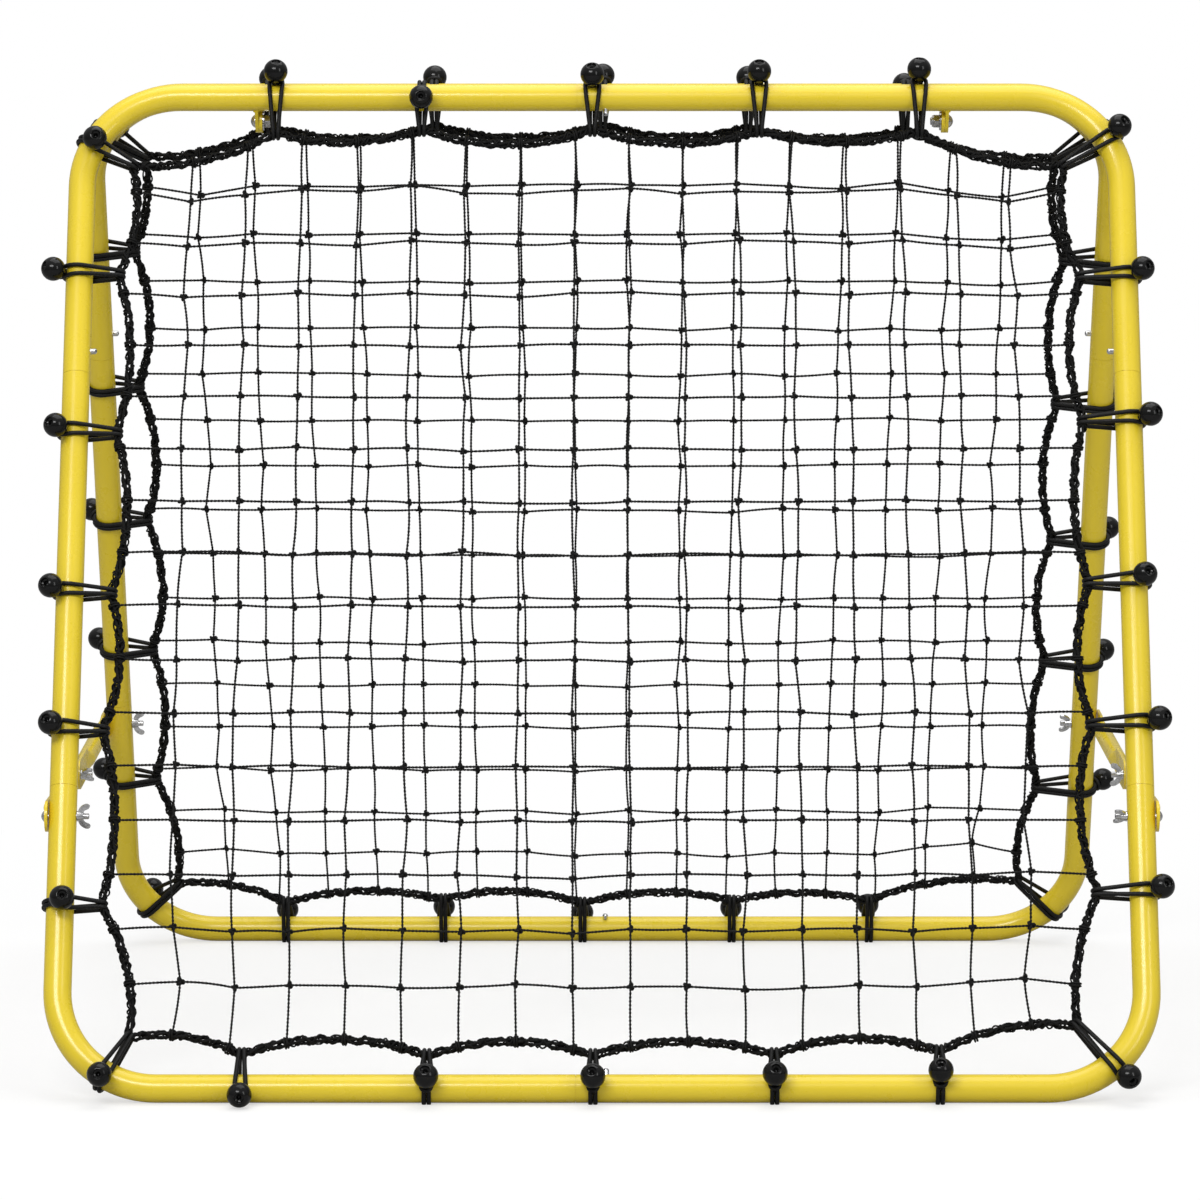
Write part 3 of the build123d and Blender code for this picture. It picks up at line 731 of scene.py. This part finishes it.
def ball_profile():
    """(radius, height) of the neck, the ball, its rolled lip and the stepped recess."""
    neck = [(0.02, -15.2), (2.6, -15.2), (3.2, -14.8), (3.4, -13.9), (3.5, -12.6), (4.0, -12.0)]
    from_neck, to_lip = math.pi - math.asin(NECK_R / BALL_R), math.asin(LIP_R / BALL_R)
    sphere = [(BALL_R * math.sin(a), BALL_R * math.cos(a)) for a in np.linspace(from_neck, to_lip, 22)]
    recess = [(RECESS_R, 11.25), (4.65, 10.8), (4.5, 9.0), (4.3, 8.7), (2.7, 8.5), (2.45, 8.2), (2.3, 4.5),
              (0.02, 4.2)]
    return neck + sphere + recess


def bungees(which, seats, rng):
    cords, balls = Builder(), Builder()
    for seat, outward, angle, drawn in seats:
        on_top = outward[1] > 0.9
        fan = rng.uniform(*(WIDE_FAN if on_top and angle < 90 else FAN))
        path = seated(bungee_path(angle, drawn, fan), seat, outward)
        cords.sweep(path, np.full((len(path), 10), CORD_R), ref=(0.13, 0.21, 1), carried=True)
        a = math.radians(angle)
        # Past the lead angle the cord has left the tube, so the ball stands further out
        reach = BALL_OUT / math.cos(max(a - lead_angle(drawn), 0))
        centre = seated(np.array([reach * math.cos(a), 0, reach * math.sin(a)]), seat, outward)
        tilt = rng.normal(0, BALL_TILT, 2)
        axis = np.array([math.cos(a + tilt[0]), tilt[1], math.sin(a + tilt[0])])
        balls.turned(ball_profile(), centre, seated(axis, (0, 0), outward))
    return (cords.build(f"{which}_bungee_elastic", which, CORD),
            balls.build(f"{which}_ball_ends", which, PLASTIC))


# ---- Weld beads where the hinge tabs meet their top tubes

BEAD_R = 1.15
BEAD_POINTS = 26
BEAD_HALF_ANGLE = math.radians(46)


def hinge_welds(which):
    build = Builder()
    facing = 1 if which == "front" else -1
    tube_y, tube_z = -HALF_GAP * facing, TUBE_R + FRAME_L * math.cos(LEAN)
    to_pivot = math.atan2(-PIVOT_DROP, HALF_GAP * facing)
    turns = to_pivot + np.linspace(-BEAD_HALF_ANGLE, BEAD_HALF_ANGLE, BEAD_POINTS)
    ripple = BEAD_R * (1 + 0.14 * np.sin(np.arange(BEAD_POINTS) * 1.9))
    reach = TUBE_R + 0.35
    near, far = TAB_FACES[which]
    for sign in (-1, 1):
        for x in (near - 0.5, far + 0.5):
            path = np.stack([np.full(BEAD_POINTS, sign * x), tube_y + reach * np.cos(turns),
                             tube_z + reach * np.sin(turns)], axis=-1)
            build.sweep(path, ripple[:, None].repeat(8, 1), ref=(1, 0, 0))
    return build.build(f"{which}_hinge_tab_welds", None, YELLOW)


# ---- The soft parts and beads of both frames, on the frames' bodies

def hang(piece, which, stands_for=None):
    """Puts a piece on its frame's body, in place of the CAD node that it stands for."""
    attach(piece, f"{which}_frame")
    if stands_for:
        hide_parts(f"{which}_{stands_for}")


def soft_parts(which):
    seats = all_seats(BUNGEES[which])
    path = rope_path(seats, RNG)
    hang(border_rope(which, path, RNG), which, "net_rope")
    twines, knots = net(which, path, RNG)
    hang(twines, which, "net")
    hang(knots, which)
    cords, balls = bungees(which, seats, RNG)
    hang(cords, which, "bungee_cords")
    hang(balls, which, "bungee_balls")
    hang(hinge_welds(which), which)


# ---- Floor, light and camera, in metres and watts

FLOOR_SIZE = 60
FLOOR_FADE = (-0.5, 1.5)        # distances from the middle over which the floor turns white
LIGHTS = [                      # name, place, target, size, power
    ("key", (-1.4, -4.2, 3.4), (0, 0, 0.5), (2.6, 1.2), 122),
    ("fill", (2.8, -3.4, 2.0), (0, 0, 0.5), (1.0, 2.2), 30),
    ("top", (0.2, 0.3, 3.6), (0, 0, 0.4), (3.0, 3.0), 56),
]
CAMERA_PLACE = (-0.002, -6.145, 1.1386)
CAMERA_DOWN = math.radians(6.432)
CAMERA_LENS, CAMERA_SENSOR = 175.4, 36.0


def camera_rays(tree):
    return tree.nodes.new("ShaderNodeLightPath").outputs["Is Camera Ray"]


def shader_mix(tree, fac, a, b, output):
    """Blends two shader outputs by fac into the material's or world's surface."""
    blend = tree.nodes.new("ShaderNodeMixShader")
    tree.links.new(fac, blend.inputs["Fac"])
    tree.links.new(a, blend.inputs[1])
    tree.links.new(b, blend.inputs[2])
    tree.links.new(blend.outputs["Shader"], tree.nodes[output].inputs["Surface"])


def distance_fade(tree, coords, start, end):
    """0 to 1 as the distance from the middle goes from start to end."""
    reach = tree.nodes.new("ShaderNodeVectorMath")
    reach.operation = "LENGTH"
    tree.links.new(coords, reach.inputs[0])
    fade = tree.nodes.new("ShaderNodeMapRange")
    fade.interpolation_type = "SMOOTHSTEP"
    put(fade, From_Min=start, From_Max=end)
    tree.links.new(reach.outputs["Value"], fade.inputs["Value"])
    return fade.outputs["Result"]


def floor():
    """Pale floor that fades to the white of the background away from the object."""
    material, tree, shader = node_material("pale_floor")
    coords = object_coords(tree)
    seen = camera_rays(tree)
    pale = ramp(tree, noise(tree, coords, 2.0), (0.3, 0.90), (0.7, 0.94))
    tree.links.new(mixed(tree, seen, 0.42, pale), shader.inputs["Base Color"])
    put(shader, Roughness=0.9)
    white = add(tree, "ShaderNodeEmission", Strength=1.0, Color=WHITE)
    only_seen = tree.nodes.new("ShaderNodeMath")
    only_seen.operation = "MULTIPLY"
    tree.links.new(distance_fade(tree, coords, *FLOOR_FADE), only_seen.inputs[0])
    tree.links.new(seen, only_seen.inputs[1])
    shader_mix(tree, only_seen.outputs["Value"], shader.outputs["BSDF"], white.outputs["Emission"],
               "Material Output")
    bpy.ops.mesh.primitive_plane_add(size=FLOOR_SIZE)
    plane = bpy.context.object
    plane.name = "studio_floor"
    plane.data.materials.append(material)


def area_light(name, location, target, size, power):
    data = bpy.data.lights.new(name, "AREA")
    data.shape = "RECTANGLE"
    data.size, data.size_y = size
    data.energy = power
    light = bpy.data.objects.new(name, data)
    light.location = location
    light.rotation_euler = (Vector(target) - Vector(location)).to_track_quat("-Z", "Y").to_euler()
    bpy.context.collection.objects.link(light)


def white_surround():
    """Seen directly the surround is white; as a light it is soft, brighter overhead than at the sides."""
    world = bpy.data.worlds.new("studio")
    bpy.context.scene.world = world
    world.use_nodes = True
    tree = world.node_tree
    soft = tree.nodes["Background"]
    coords = tree.nodes.new("ShaderNodeTexCoord").outputs["Generated"]
    split = tree.nodes.new("ShaderNodeSeparateXYZ")
    tree.links.new(coords, split.inputs["Vector"])
    tree.links.new(ramp(tree, split.outputs["Z"], (0.0, 0.26), (0.85, 0.66)), soft.inputs["Color"])
    white = add(tree, "ShaderNodeBackground", Strength=1.0, Color=WHITE)
    shader_mix(tree, camera_rays(tree), soft.outputs["Background"], white.outputs["Background"],
               "World Output")


def add_camera():
    camera_data = bpy.data.cameras.new("camera")
    camera_data.sensor_width = CAMERA_SENSOR
    camera_data.lens = CAMERA_LENS
    camera_data.clip_end = 100
    camera = bpy.data.objects.new("camera", camera_data)
    camera.location = CAMERA_PLACE
    camera.rotation_euler = (math.pi / 2 - CAMERA_DOWN, 0, 0)
    bpy.context.collection.objects.link(camera)
    bpy.context.scene.camera = camera


def studio():
    floor()
    white_surround()
    for light in LIGHTS:
        area_light(*light)
    bpy.context.scene.view_settings.view_transform = "Standard"
    add_camera()


dress_cad()
for which in ("front", "rear"):
    soft_parts(which)
studio()
